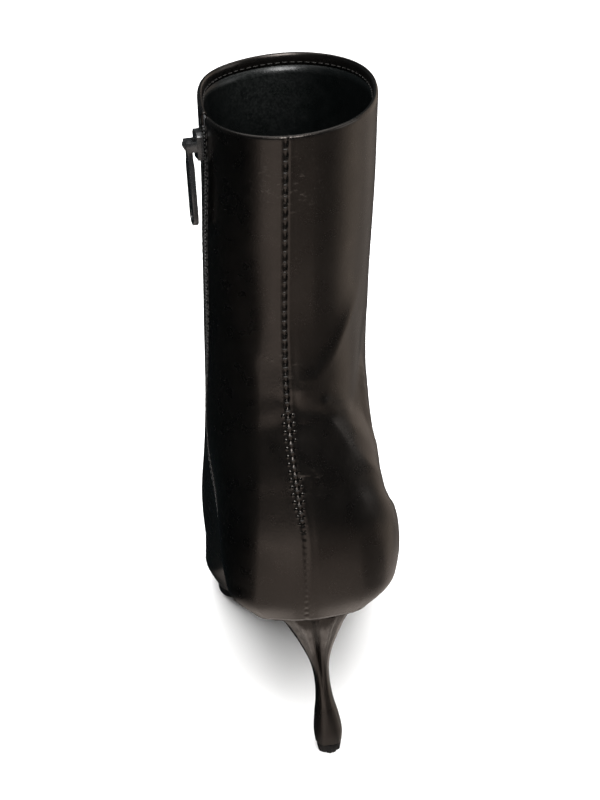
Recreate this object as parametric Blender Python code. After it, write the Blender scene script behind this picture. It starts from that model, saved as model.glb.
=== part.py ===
# Stiletto ankle boot for the right foot, standing on its heel tip and forefoot.
# Toe to +Y, outer side to +X, floor at z = 0. Sizes are in millimetres until a mesh is made.
import math

import bmesh
import bpy
import numpy as np
from mathutils import Matrix, Vector

MM = 0.001

# Driving sizes
GAP = 0.3  # clearance between pieces that touch
WALL = 2.0  # leather and lining of the upper together
SOLE_LIP = -0.5  # sole edge beyond the feather line
SEAT_INSET = 2.0  # how much further in it lies at the heel seat
SEAT_END = (44.0, 78.0)  # where the inset begins to fade, and where it is gone
INSOLE_THICK = 1.6
INSOLE_CLEAR = 0.7  # from the facets of the wall
INSOLE_TOE_START = 200.0  # beyond this it is drawn back under the low roof of the toe
INSOLE_TOE_SHARE = 0.88
TUCK = 0.12  # share by which the upper draws in at the feather line
TUCK_LEVEL = 0.08  # level above which it no longer draws in
COLLAR_TURN = 3.0  # how far the front of the collar turns to the outer side
END_POWER = 2.5  # roundness of the sections at heel, toe and shin
WALL_ROWS = 24  # rows of facets from the feather line to the collar

# Sections of the upper, from the feather line (level 0) to the collar (level 1).
# back and front are points of the side view. sway is the middle of the section.
# heel to front are half widths at the stations below, and the rounds are end radii.
SECTION_COLUMNS = ("level", "back_y", "back_z", "front_y", "front_z", "sway",
                   "heel", "waist", "ball", "fore", "front", "back_round", "front_round")
SECTION_ROWS = (
    (0.00, 4.0, 63.0, 250.0, 11.0, -2.6, 23.0, 26.5, 37.3, 25.0, 8.0, 20.0, 16.0),
    (0.03, 2.6, 68.8, 247.0, 18.0, -2.4, 30.6, 29.0, 37.8, 26.5, 11.5, 26.0, 20.0),
    (0.08, 1.0, 78.2, 231.0, 27.0, -1.8, 34.2, 31.0, 38.0, 29.0, 17.0, 31.0, 27.0),
    (0.18, 0.3, 97.2, 199.0, 40.5, -1.5, 35.6, 32.5, 38.0, 34.0, 28.5, 33.0, 43.0),
    (0.30, 4.0, 118.7, 163.0, 58.5, -3.1, 31.7, 31.8, 36.5, 36.0, 36.0, 36.0, 60.0),
    (0.44, 10.0, 144.0, 133.0, 88.0, -4.4, 29.2, 30.5, 33.0, 34.0, 34.5, 42.0, 63.0),
    (0.60, 12.2, 173.3, 111.5, 129.5, -3.8, 28.0, 29.3, 30.0, 30.5, 30.5, 48.0, 58.0),
    (0.80, 10.0, 210.4, 101.5, 189.0, -1.5, 29.3, 30.0, 30.0, 30.0, 30.0, 48.0, 50.0),
    (1.00, 8.0, 246.5, 101.0, 250.0, 0.8, 30.4, 30.9, 31.2, 31.2, 30.8, 48.0, 48.0),
)
SECTION = dict(zip(SECTION_COLUMNS, np.array(SECTION_ROWS).T))
STATIONS = (("heel", 0.0), ("waist", 0.36), ("ball", 0.62), ("fore", 0.83), ("front", 1.0))

# Bottom of the last: height of the feather line, and sole thickness under it
BOTTOM_COLUMNS = ("y", "height", "thick")
BOTTOM_ROWS = (
    (4.0, 63.0, 1.0),
    (45.0, 55.8, 1.2),
    (86.0, 36.5, 2.2),
    (122.0, 14.0, 3.0),
    (148.0, 4.8, 3.4),
    (172.0, 3.8, 3.6),
    (200.0, 4.6, 3.4),
    (250.0, 11.0, 2.6),
)
BOTTOM = dict(zip(BOTTOM_COLUMNS, np.array(BOTTOM_ROWS).T))

# Centre line of the last seen from above: station along the foot, shift to the outer side
CENTRE_COLUMNS = ("station", "shift")
CENTRE_ROWS = ((0.0, 0.0), (0.12, 2.0), (0.36, 0.0), (0.62, -3.0), (1.0, -3.4))
CENTRE = dict(zip(CENTRE_COLUMNS, np.array(CENTRE_ROWS).T))

# Back seam: distance from the seam, and how far the leather stands out there
SEAM_ROWS = ((0.0, -0.45), (1.1, 0.3), (2.6, 0.3), (5.0, 0.0))

# Zip on the inner side: its angle round the shaft, and its profile across and out of the wall
ZIP_ANGLE = math.radians(293.0)
ZIP_SLIT = 8.0
ZIP_FIRST_LEVEL = 4 / WALL_ROWS  # the slit starts on a row of the wall
ZIP_LAST_LEVEL = 0.985
ZIP_PROFILE = ((-3.7, -1.8), (3.7, -1.8), (3.7, -0.6), (2.3, -0.6),
               (1.8, 0.4), (-1.8, 0.4), (-2.3, -0.6), (-3.7, -0.6))
ZIP_RINGS = 22

# Heel between its tip and the sole: share of the height, back and front edge, half width, shift
HEEL_COLUMNS = ("share", "back", "front", "half", "shift")
HEEL_ROWS = (
    (0.00, 12.6, 23.8, 5.0, 2.2),
    (0.07, 12.2, 24.4, 5.4, 2.2),
    (0.17, 12.5, 24.8, 4.8, 2.0),
    (0.31, 13.6, 24.4, 3.4, 1.6),
    (0.45, 14.2, 24.6, 2.9, 1.2),
    (0.59, 13.6, 26.0, 3.6, 0.7),
    (0.73, 11.6, 30.0, 6.2, 0.2),
    (0.85, 9.0, 36.5, 9.6, 0.0),
    (0.93, 7.2, 43.0, 12.4, -0.2),
    (0.97, 6.6, 48.0, 14.6, -0.3),
    (1.00, 6.4, 52.0, 16.4, -0.4),
)
HEEL_SIDES = 24
HEEL_POWER = 2.3  # roundness of the heel's sections
HEEL_SEAT_RINGS = (0.6, 0.2)  # rings inside its top face, as shares of the edge
TIP_HEIGHT = 4.0

# Zip slider and the tab that hangs from its bar
SLIDER_LEVEL = 0.955
SLIDER_LENGTH = 10.0
SLIDER_SHOULDER = 8.4  # width at its top
SLIDER_FOOT = 6.4  # width at its lower end
SLIDER_LOW = 0.8  # its inner face, out of the wall
SLIDER_HIGH = 3.0  # its outer face
EAR_INNER = 2.4  # from the middle to the ear that holds the bar
EAR_THICK = 1.0
EAR_LENGTH = 3.6
BAR_OUT = 5.4  # the tab's axis, out of the wall
BAR_RADIUS = 0.8
EYE_OUTER = 2.0  # radii of the tab's eye round the bar
EYE_INNER = 1.15
TAB_NECK = 4.2  # width of the neck
TAB_NECK_END = 4.2  # where the neck widens, below the axis
TAB_WIDTH = 7.2
TAB_LENGTH = 29.0
TAB_THICK = 1.8
TAB_HOLE = 1.5
ROUND_SIDES = 20

# Mesh density of the upper and the sole
RIM_LEVEL = 0.018  # extra row just above the feather line
LEVELS = np.concatenate([[0.0, RIM_LEVEL], np.linspace(1 / WALL_ROWS, 1.0, WALL_ROWS)])
OUTER_COLUMNS = 22
INNER_FRONT_COLUMNS = 10
INNER_BACK_COLUMNS = 11
SEAM_CLEAR = 0.26  # angle from the back seam to the first plain column
ZIP_CLEAR = 0.16  # the same beside the slit
SOLE_STATIONS = 38
SOLE_STRIPS = 4
SHARP_EDGE = math.radians(40.0)
WELD = 1e-7  # metres within which corners are one
SLOPE_STEP = 1e-3  # step for the slopes of the surface

COLOURS = {
    "leather": ((0.014, 0.012, 0.012), 0.42, 0.0),
    "patent": ((0.010, 0.009, 0.009), 0.12, 0.0),
    "rubber": ((0.016, 0.016, 0.016), 0.75, 0.0),
    "lining": ((0.012, 0.011, 0.011), 0.25, 0.0),
    "zip": ((0.013, 0.013, 0.014), 0.55, 0.0),
    "enamel": ((0.011, 0.011, 0.012), 0.22, 0.4),
}


def smooth(knots, values, at):
    # Cubic through the knots. values holds one number per knot, or one per knot and point.
    at = np.asarray(at, float)
    knots = np.asarray(knots, float)
    flat = at.ravel()
    values = np.asarray(values, float).reshape(len(knots), -1) * np.ones(flat.size)
    step = np.diff(knots)[:, None]
    rise = np.diff(values, axis=0) / step
    slope = np.empty_like(values)
    slope[1:-1] = (rise[:-1] * step[1:] + rise[1:] * step[:-1]) / (step[:-1] + step[1:])
    slope[0] = 1.5 * rise[0] - 0.5 * slope[1]
    slope[-1] = 1.5 * rise[-1] - 0.5 * slope[-2]
    cell = np.clip(np.searchsorted(knots, flat, side="right") - 1, 0, len(step) - 1)
    point = np.arange(flat.size)
    width = step[cell, 0]
    u = (flat - knots[cell]) / width
    ends = values[cell, point] * (1 + 2 * u) * (1 - u) ** 2 + values[cell + 1, point] * u * u * (3 - 2 * u)
    bend = slope[cell, point] * u * (1 - u) ** 2 + slope[cell + 1, point] * u * u * (u - 1)
    return (ends + bend * width).reshape(at.shape)


def section(column, level):
    return smooth(SECTION["level"], SECTION[column], level)


def feather_height(y):
    return smooth(BOTTOM["y"], BOTTOM["height"], y)


def sole_top(y):
    return feather_height(y) - GAP


def sole_bottom(y):
    return np.maximum(0.0, sole_top(y) - smooth(BOTTOM["y"], BOTTOM["thick"], y))


def back_line(level):
    return np.stack([section("back_y", level), section("back_z", level)], -1)


def front_line(level):
    return np.stack([section("front_y", level), section("front_z", level)], -1)


def side_view(level, along):
    # Patch between the back, the front, the feather line and the collar
    heel, toe = back_line(np.array(0.0)), front_line(np.array(0.0))
    collar_back, collar_front = back_line(np.array(1.0)), front_line(np.array(1.0))
    up, on = level[..., None], along[..., None]
    y = heel[0] + (toe[0] - heel[0]) * along
    feather = np.stack([y, feather_height(y)], -1)
    collar = collar_back + (collar_front - collar_back) * on
    low_corners = (1 - on) * heel + on * toe
    high_corners = (1 - on) * collar_back + on * collar_front
    ruled = (1 - up) * (feather - low_corners) + up * (collar - high_corners)
    return ruled + (1 - on) * back_line(level) + on * front_line(level)


def end_round(distance, radius):
    return np.sqrt(1 - (1 - np.clip(distance / radius, 0, 1)) ** END_POWER)


def half_width(level, along, points):
    names, stations = zip(*STATIONS)
    widths = np.stack([section(name, level).ravel() for name in names])
    full = smooth(stations, widths, along)
    from_back = np.linalg.norm(points - back_line(level), axis=-1)
    from_front = np.linalg.norm(points - front_line(level), axis=-1)
    back = end_round(from_back, section("back_round", level))
    front = end_round(from_front, section("front_round", level))
    tuck = 1 - TUCK * np.clip(1 - level / TUCK_LEVEL, 0, 1) ** 2
    return full * back * front * tuck


def upper_surface(level, angle):
    # angle 0 is the back seam, pi the toe and shin, with the outer side between them
    level, angle = np.broadcast_arrays(np.asarray(level, float), np.asarray(angle, float))
    along = (1 - np.cos(angle)) / 2
    side = np.where(np.sin(angle) >= 0, 1.0, -1.0)
    points = side_view(level, along)
    centre = smooth(CENTRE["station"], CENTRE["shift"], along) * (1 - level) ** 2
    x = section("sway", level) + centre + COLLAR_TURN * along * level
    x = x + side * half_width(level, along, points)
    return np.concatenate([x[..., None], points], -1)


def unit(vectors):
    return vectors / np.linalg.norm(vectors, axis=-1, keepdims=True)


def upper_slopes(level, angle):
    low, high = np.maximum(level - SLOPE_STEP, 0), np.minimum(level + SLOPE_STEP, 1)
    rising = (upper_surface(high, angle) - upper_surface(low, angle)) / (high - low)[..., None]
    before, after = upper_surface(level, angle - SLOPE_STEP), upper_surface(level, angle + SLOPE_STEP)
    turning = (after - before) / (2 * SLOPE_STEP)
    return rising, turning


def upper_normal(level, angle):
    rising, turning = upper_slopes(level, angle)
    return unit(np.cross(turning, rising))


def walk(level, angle, distance):
    # Angle reached from the given one after some distance along the section
    turning = upper_slopes(level, angle)[1]
    return angle + distance / np.linalg.norm(turning, axis=-1)


def inner_wall(level, angle):
    # At the feather line the wall keeps its thickness in the plan, and its edge its height
    normal = upper_normal(level, angle)
    at_feather = (level <= 0)[..., None]
    inward = np.where(at_feather, unit(normal * (1.0, 1.0, 0.0)), normal)
    points = upper_surface(level, angle) - WALL * inward
    points[..., 2] = np.where(at_feather[..., 0], feather_height(points[..., 1]), points[..., 2])
    return points


def grow(loop, distance):
    # Plan outline moved outwards, for a loop that runs from the heel along the outer side
    around = unit(np.roll(loop, -1, axis=0) - np.roll(loop, 1, axis=0))
    outward = np.stack([around[:, 1], -around[:, 0]], -1)
    return loop + distance * outward


def material(name):
    made = bpy.data.materials.get(name)
    if made:
        return made
    colour, roughness, metallic = COLOURS[name]
    made = bpy.data.materials.new(name)
    made.use_nodes = True
    shader = made.node_tree.nodes["Principled BSDF"]
    shader.inputs["Base Color"].default_value = (*colour, 1.0)
    shader.inputs["Roughness"].default_value = roughness
    shader.inputs["Metallic"].default_value = metallic
    return made


def add_object(name, points, faces, finish, parent):
    mesh = bpy.data.meshes.new(name)
    mesh.from_pydata([tuple(p * MM for p in point) for point in points], [], faces)
    shape = bmesh.new()
    shape.from_mesh(mesh)
    bmesh.ops.remove_doubles(shape, verts=shape.verts, dist=WELD)
    bmesh.ops.recalc_face_normals(shape, faces=shape.faces)
    shape.to_mesh(mesh)
    shape.free()
    mesh.shade_smooth()
    mesh.set_sharp_from_angle(angle=SHARP_EDGE)
    made = bpy.data.objects.new(name, mesh)
    made.data.materials.append(material(finish))
    made.parent = parent
    bpy.context.collection.objects.link(made)
    return made


def loft(rings):
    # Closed rings of equal length joined into one body with flat ends
    rows, columns = len(rings), len(rings[0])
    points = np.concatenate(rings)
    faces = [tuple(range(columns)), tuple(range((rows - 1) * columns, rows * columns))]
    for row in range(rows - 1):
        for column in range(columns):
            beside = (column + 1) % columns
            base = row * columns
            faces.append((base + column, base + beside, base + columns + beside, base + columns + column))
    return points, faces


def upper_columns():
    # Angle and distance from it of each column of the wall, once round from the seam
    seam = [row[0] for row in SEAM_ROWS]
    columns = [(0.0, distance) for distance in seam]
    columns += [(angle, 0.0) for angle in np.linspace(SEAM_CLEAR, math.pi, OUTER_COLUMNS)]
    front = np.linspace(math.pi, ZIP_ANGLE - ZIP_CLEAR, INNER_FRONT_COLUMNS)[1:]
    columns += [(angle, 0.0) for angle in front]
    columns += [(ZIP_ANGLE, -ZIP_SLIT / 2), (ZIP_ANGLE, ZIP_SLIT / 2)]
    back = np.linspace(ZIP_ANGLE + ZIP_CLEAR, 2 * math.pi - SEAM_CLEAR, INNER_BACK_COLUMNS)
    columns += [(angle, 0.0) for angle in back]
    columns += [(2 * math.pi, -distance) for distance in reversed(seam[1:])]
    return columns


def make_upper(parent):
    columns = upper_columns()
    near_seam = [abs(distance) if angle in (0.0, 2 * math.pi) else np.inf for angle, distance in columns]
    relief = np.interp(near_seam, *np.array(SEAM_ROWS).T, right=0.0)
    level = np.repeat(LEVELS[:, None], len(columns), 1)
    angle = np.stack([walk(LEVELS, np.full(LEVELS.shape, start), distance)
                      for start, distance in columns], 1)
    outer = upper_surface(level, angle) + relief[:, None] * upper_normal(level, angle)
    inner = inner_wall(level, angle)
    count = len(columns)
    slit = columns.index((ZIP_ANGLE, -ZIP_SLIT / 2))
    first = int(np.argmin(np.abs(LEVELS - ZIP_FIRST_LEVEL)))
    skin = []
    for row in range(len(LEVELS) - 1):
        for column in range(count):
            if column == slit and row >= first:
                continue
            beside = (column + 1) % count
            skin.append((row * count + column, row * count + beside,
                         (row + 1) * count + beside, (row + 1) * count + column))
    return add_object("upper", *thick_skin(outer, inner, skin), "leather", parent)


def thick_skin(outer, inner, skin):
    # Second skin behind the first, with their open edges joined
    points = np.concatenate([outer.reshape(-1, 3), inner.reshape(-1, 3)])
    behind = outer.shape[0] * outer.shape[1]
    edges = {(face[i], face[(i + 1) % 4]) for face in skin for i in range(4)}
    faces = list(skin)
    faces += [tuple(corner + behind for corner in reversed(face)) for face in skin]
    faces += [(b, a, a + behind, b + behind) for a, b in edges if (b, a) not in edges]
    return points, faces


def slab(loop, top, bottom):
    # Plate between two height functions. The loop has its outer half first, then the inner half.
    half = len(loop) // 2
    outer, inner = loop[: half + 1], np.concatenate([loop[:1], loop[:half - 1:-1]])
    share = np.linspace(0, 1, SOLE_STRIPS + 1)[None, :, None]
    plan = inner[:, None] * (1 - share) + outer[:, None] * share
    high = np.concatenate([plan, top(plan[..., 1])[..., None]], -1)
    low = np.concatenate([plan, bottom(plan[..., 1])[..., None]], -1)
    across = SOLE_STRIPS + 1
    sheet = []
    for row in range(len(plan) - 1):
        for column in range(SOLE_STRIPS):
            base = row * across + column
            sheet.append((base, base + 1, base + across + 1, base + across))
    return thick_skin(high, low, sheet)


def plan_angles():
    return np.linspace(0, 2 * math.pi, 2 * SOLE_STATIONS, endpoint=False)


def make_outsole(parent):
    feather = upper_surface(np.zeros(2 * SOLE_STATIONS), plan_angles())[:, :2]
    inset = SEAT_INSET * np.interp(feather[:, 1:], SEAT_END, (1.0, 0.0))
    return add_object("outsole", *slab(grow(feather, SOLE_LIP - inset), sole_top, sole_bottom), "patent", parent)


def make_insole(parent):
    rim = inner_wall(np.zeros(2 * SOLE_STATIONS), plan_angles())[:, :2]
    loop = grow(rim, -INSOLE_CLEAR)
    loop[:, 1] -= (1 - INSOLE_TOE_SHARE) * np.maximum(0, loop[:, 1] - INSOLE_TOE_START)
    board = slab(loop, lambda y: feather_height(y) + INSOLE_THICK, feather_height)
    return add_object("insole", *board, "lining", parent)


def heel_ring(size):
    turn = np.linspace(0, 2 * math.pi, HEEL_SIDES, endpoint=False)
    across, along = np.sin(turn), -np.cos(turn)
    bulge = 2 / HEEL_POWER
    middle, reach = (size["front"] + size["back"]) / 2, (size["front"] - size["back"]) / 2
    x = size["shift"] + size["half"] * np.sign(across) * np.abs(across) ** bulge
    y = middle + reach * np.sign(along) * np.abs(along) ** bulge
    return np.stack([x, y], -1)


def make_heel(parent):
    base = TIP_HEIGHT + GAP
    rings = []
    for row in HEEL_ROWS:
        size = dict(zip(HEEL_COLUMNS, row))
        plan = heel_ring(size)
        height = base + size["share"] * (sole_bottom(plan[:, 1]) - GAP - base)
        rings.append(np.concatenate([plan, height[:, None]], -1))
    edge = rings[-1][:, :2]
    for inside in HEEL_SEAT_RINGS:
        plan = edge.mean(0) + (edge - edge.mean(0)) * inside
        rings.append(np.concatenate([plan, sole_bottom(plan[:, 1])[:, None] - GAP], -1))
    return add_object("heel", *loft(rings), "patent", parent)


def make_heel_tip(parent):
    plan = heel_ring(dict(zip(HEEL_COLUMNS, HEEL_ROWS[0])))
    rings = [np.concatenate([plan, np.full((HEEL_SIDES, 1), z)], -1) for z in (0.0, TIP_HEIGHT)]
    return add_object("heel_tip", *loft(rings), "rubber", parent)


def make_zip(parent):
    start = np.full(1, ZIP_ANGLE)
    first = np.full(1, ZIP_FIRST_LEVEL)
    rise = np.linalg.norm(upper_slopes(first, start)[0])
    levels = np.linspace(ZIP_FIRST_LEVEL + 2 * GAP / rise, ZIP_LAST_LEVEL, ZIP_RINGS)
    across, out = np.array(ZIP_PROFILE).T
    rings = []
    for level in levels:
        here = np.full(len(across), level)
        angle = walk(here, np.full(len(across), ZIP_ANGLE), across)
        rings.append(upper_surface(here, angle) + out[:, None] * upper_normal(here, angle))
    return add_object("zip", *loft(rings), "zip", parent)


def zip_frame():
    # Place of the slider: x along the wall towards the toe, y out of the wall, z up
    level, angle = np.array([SLIDER_LEVEL]), np.array([ZIP_ANGLE])
    out = upper_normal(level, angle)[0] * (1, 1, 0)
    out = Vector(out).normalized()
    up = Vector((0, 0, 1))
    turn = Matrix((out.cross(up), out, up)).transposed().to_4x4()
    return Matrix.Translation(Vector(upper_surface(level, angle)[0]) * MM) @ turn


def extrude(outline, low, high):
    # Prism of an outline across and up, between two distances out of the wall
    near = np.array([(x, low, z) for x, z in outline])
    far = np.array([(x, high, z) for x, z in outline])
    return loft([near, far])


def rod(radius, half_length, out, up):
    # Round bar along the wall
    turn = np.linspace(0, 2 * math.pi, ROUND_SIDES, endpoint=False)
    ends = [[(x, out + radius * math.cos(a), up + radius * math.sin(a)) for a in turn]
            for x in (-half_length, half_length)]
    return loft([np.array(end) for end in ends])


def combine(body, operation, helper):
    helper.hide_render = True
    helper.display_type = "WIRE"
    step = body.modifiers.new(helper.name, "BOOLEAN")
    step.operation = operation
    step.solver = "EXACT"
    step.object = helper


def box_outline(left, right, low, high):
    return ((left, low), (right, low), (right, high), (left, high))


def make_slider(place, parent):
    half, shoulder, foot = SLIDER_LENGTH / 2, SLIDER_SHOULDER / 2, SLIDER_FOOT / 2
    chamfer = shoulder / 3
    outline = ((-foot, -half), (foot, -half), (shoulder, half - chamfer), (shoulder - chamfer, half),
               (chamfer - shoulder, half), (-shoulder, half - chamfer))
    body = add_object("zip_slider", *extrude(outline, SLIDER_LOW, SLIDER_HIGH), "enamel", parent)
    body.matrix_local = place
    top = BAR_OUT + BAR_RADIUS + EAR_THICK / 2
    for name, side in (("slider_ear_front", 1), ("slider_ear_back", -1)):
        near, far = sorted((side * EAR_INNER, side * (EAR_INNER + EAR_THICK)))
        outline = box_outline(near, far, -EAR_LENGTH / 2, EAR_LENGTH / 2)
        ear = add_object(name, *extrude(outline, SLIDER_HIGH - EAR_THICK, top), "enamel", parent)
        ear.matrix_local = place
        combine(body, "UNION", ear)
    reach = EAR_INNER + EAR_THICK / 2
    bar = add_object("slider_bar", *rod(BAR_RADIUS, reach, BAR_OUT, 0.0), "enamel", parent)
    bar.matrix_local = place
    combine(body, "UNION", bar)
    return body


def tab_outline():
    half, end = TAB_WIDTH / 2, -TAB_LENGTH + TAB_WIDTH / 2
    turn = np.linspace(0, math.pi, ROUND_SIDES // 2 + 1)
    foot = [(half * math.cos(a), end - half * math.sin(a)) for a in turn]
    neck, slope = TAB_NECK / 2, -TAB_NECK_END - (TAB_WIDTH - TAB_NECK)
    left = ((-half, slope), (-neck, -TAB_NECK_END), (-neck, 0.0))
    right = ((neck, 0.0), (neck, -TAB_NECK_END), (half, slope))
    return [*right, *foot, *left]


def make_pull_tab(place, parent):
    # The tab's own origin is on the middle of the slider's bar
    axis = place @ Matrix.Translation(Vector((0, BAR_OUT * MM, 0)))
    half = TAB_THICK / 2
    tab = add_object("zip_pull_tab", *extrude(tab_outline(), -half, half), "enamel", parent)
    tab.matrix_local = axis
    eye = add_object("tab_eye", *rod(EYE_OUTER, TAB_NECK / 2, 0.0, 0.0), "enamel", parent)
    eye.matrix_local = axis
    combine(tab, "UNION", eye)
    bore = add_object("tab_bore", *rod(EYE_INNER, TAB_NECK, 0.0, 0.0), "enamel", parent)
    bore.matrix_local = axis
    combine(tab, "DIFFERENCE", bore)
    turn = np.linspace(0, 2 * math.pi, ROUND_SIDES, endpoint=False)
    centre = -TAB_LENGTH + TAB_WIDTH / 2
    ring = [(TAB_HOLE * math.cos(a), centre + TAB_HOLE * math.sin(a)) for a in turn]
    hole = add_object("tab_hole", *extrude(ring, -TAB_THICK, TAB_THICK), "enamel", parent)
    hole.matrix_local = axis
    combine(tab, "DIFFERENCE", hole)
    return tab


def centre_over_origin(root, pieces):
    # The middle of the boot's box, seen from above, goes to the origin
    bpy.context.view_layer.update()
    corners = np.array([piece.matrix_world @ Vector(corner)
                        for piece in pieces for corner in piece.bound_box])
    middle = (corners.min(0) + corners.max(0)) / 2
    root.location = (-middle[0], -middle[1], 0.0)


def main():
    for old in list(bpy.data.objects):
        bpy.data.objects.remove(old)
    root = bpy.data.objects.new("boot", None)
    bpy.context.collection.objects.link(root)
    place = zip_frame()
    pieces = [make_upper(root), make_outsole(root), make_insole(root), make_heel(root),
              make_heel_tip(root), make_zip(root), make_slider(place, root), make_pull_tab(place, root)]
    centre_over_origin(root, pieces)


main()
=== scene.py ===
import math

import bmesh
import bpy
import numpy as np
from mathutils import Matrix, Vector


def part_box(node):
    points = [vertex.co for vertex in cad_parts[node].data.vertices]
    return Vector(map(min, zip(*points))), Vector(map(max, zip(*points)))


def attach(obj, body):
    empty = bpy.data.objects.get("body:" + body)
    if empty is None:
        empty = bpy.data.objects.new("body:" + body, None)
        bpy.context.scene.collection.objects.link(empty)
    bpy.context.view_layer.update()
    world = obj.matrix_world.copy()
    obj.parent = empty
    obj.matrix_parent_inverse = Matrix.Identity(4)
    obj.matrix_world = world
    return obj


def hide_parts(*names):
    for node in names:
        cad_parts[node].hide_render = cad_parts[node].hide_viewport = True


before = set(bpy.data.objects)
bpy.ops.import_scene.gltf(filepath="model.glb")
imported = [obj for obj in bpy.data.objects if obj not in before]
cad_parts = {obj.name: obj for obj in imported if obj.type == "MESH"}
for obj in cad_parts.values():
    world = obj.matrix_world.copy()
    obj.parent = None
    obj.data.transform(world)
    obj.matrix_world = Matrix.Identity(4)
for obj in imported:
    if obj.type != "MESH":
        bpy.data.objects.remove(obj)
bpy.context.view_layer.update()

mm = 0.001
turn = 2 * math.pi

# The last: sections from the feather line (level 0) to the collar (level 1), in millimetres
last = {
    "columns": ("level", "backY", "backZ", "frontY", "frontZ", "sway",
                "heel", "waist", "ball", "fore", "front", "backRound", "frontRound"),
    "rows": (
        (0.00, 4.0, 64.6, 250.0, 11.0, -2.6, 24.2, 26.5, 37.3, 25.0, 8.0, 15.0, 16.0),
        (0.03, 2.6, 69.8, 247.0, 18.0, -2.4, 31.2, 29.0, 37.8, 26.5, 11.5, 22.0, 20.0),
        (0.08, 1.0, 78.6, 231.0, 27.0, -1.8, 34.3, 31.0, 38.0, 29.0, 17.0, 29.0, 27.0),
        (0.18, 0.3, 97.2, 199.0, 40.5, -1.5, 35.6, 32.5, 38.0, 34.0, 28.5, 33.0, 43.0),
        (0.30, 4.0, 118.7, 163.0, 58.5, -3.1, 31.7, 31.8, 36.5, 36.0, 36.0, 36.0, 60.0),
        (0.44, 10.0, 144.0, 133.0, 88.0, -4.4, 29.2, 30.5, 33.0, 34.0, 34.5, 42.0, 63.0),
        (0.60, 12.2, 173.3, 111.5, 129.5, -3.8, 28.0, 29.3, 30.0, 30.5, 30.5, 48.0, 58.0),
        (0.80, 10.0, 210.4, 101.5, 189.0, -1.5, 29.3, 30.0, 30.0, 30.0, 30.0, 48.0, 50.0),
        (1.00, 8.0, 246.5, 101.0, 250.8, 0.8, 30.4, 30.9, 31.2, 31.2, 30.8, 48.0, 48.0),
    ),
    "stations": (("heel", 0.0), ("waist", 0.36), ("ball", 0.62), ("fore", 0.83), ("front", 1.0)),
    "bottomY": (4.0, 45.0, 86.0, 122.0, 148.0, 172.0, 200.0, 250.0),
    "bottomHeight": (64.6, 55.8, 36.5, 14.0, 4.8, 3.8, 4.6, 11.0),
    "soleThick": (1.0, 1.2, 2.2, 3.0, 3.4, 3.6, 3.4, 2.6),
    "centreStation": (0.0, 0.12, 0.36, 0.62, 1.0),
    "centreShift": (0.0, 2.0, 0.0, -3.0, -3.4),
    "tuck": 0.12, "tuckLevel": 0.08, "collarTurn": 3.0, "endPower": 2.5,
    "outerEase": 1.5, "outerEaseFrom": (0.70, 0.95),  # wear has spread the shaft
    "innerEase": 1.3, "innerEaseFrom": (0.28, 0.42), "innerEaseTo": (0.78, 0.93),
    "cornerEase": 2.2, "cornerEaseFrom": (0.80, 1.0),  # the collar has slumped into a soft corner
    "cornerAt": math.radians(233), "cornerWidth": math.radians(27),
    "gap": 0.3,  # between the pieces that touch
    "tipMiddle": (2.2, 18.2),  # middle of the heel tip, which places the last in the frame
}
section = dict(zip(last["columns"], np.array(last["rows"]).T))
tipLow, tipHigh = (np.array(corner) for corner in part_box("heel_tip"))
shift = np.array([*((tipLow + tipHigh)[:2] / 2 / mm - last["tipMiddle"]), 0.0])


def smooth(knots, values, at):
    # cubic through the knots, with one value a knot or one a knot and point
    at, knots = np.asarray(at, float), np.asarray(knots, float)
    flat = at.ravel()
    values = np.asarray(values, float).reshape(len(knots), -1) * np.ones(flat.size)
    step = np.diff(knots)[:, None]
    rise = np.diff(values, axis=0) / step
    slope = np.empty_like(values)
    slope[1:-1] = (rise[:-1] * step[1:] + rise[1:] * step[:-1]) / (step[:-1] + step[1:])
    slope[0] = 1.5 * rise[0] - 0.5 * slope[1]
    slope[-1] = 1.5 * rise[-1] - 0.5 * slope[-2]
    cell = np.clip(np.searchsorted(knots, flat, side="right") - 1, 0, len(step) - 1)
    point = np.arange(flat.size)
    width = step[cell, 0]
    u = (flat - knots[cell]) / width
    ends = values[cell, point] * (1 + 2 * u) * (1 - u) ** 2 + values[cell + 1, point] * u * u * (3 - 2 * u)
    bend = slope[cell, point] * u * (1 - u) ** 2 + slope[cell + 1, point] * u * u * (u - 1)
    return (ends + bend * width).reshape(at.shape)


def ramp(low, high, value):
    u = np.clip((np.asarray(value, float) - low) / (high - low), 0, 1)
    return u * u * (3 - 2 * u)


def hump(value, middle, width):
    return np.exp(-((value - middle) / width) ** 2)


def unit(vectors):
    return vectors / np.maximum(np.linalg.norm(vectors, axis=-1, keepdims=True), 1e-12)


def runLength(line):
    # millimetres from the first point of a line to each of its points
    return np.concatenate([[0], np.cumsum(np.linalg.norm(np.diff(line, axis=0), axis=1))])


def at(column, level):
    return smooth(section["level"], section[column], level)


def featherHeight(y):
    return smooth(last["bottomY"], last["bottomHeight"], y)


def soleTop(y):
    return featherHeight(y) - last["gap"]


def soleBottom(y):
    return np.maximum(0.0, soleTop(y) - smooth(last["bottomY"], last["soleThick"], y))


def endLine(end, level):
    # the back or the front of the side view
    return np.stack([at(end + "Y", level), at(end + "Z", level)], -1)


def sideView(level, along):
    # straight from the back line to the front line, bent towards the feather line lower down
    heel, toe = endLine("back", 0.0), endLine("front", 0.0)
    up, on = level[..., None], along[..., None]
    y = heel[0] + (toe[0] - heel[0]) * along
    feather = np.stack([y, featherHeight(y)], -1)
    bent = (1 - up) * (feather - (1 - on) * heel - on * toe)
    return bent + (1 - on) * endLine("back", level) + on * endLine("front", level)


def endRound(end, level, points):
    share = np.linalg.norm(points - endLine(end, level), axis=-1) / at(end + "Round", level)
    return np.sqrt(1 - (1 - np.clip(share, 0, 1)) ** last["endPower"])


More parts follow.
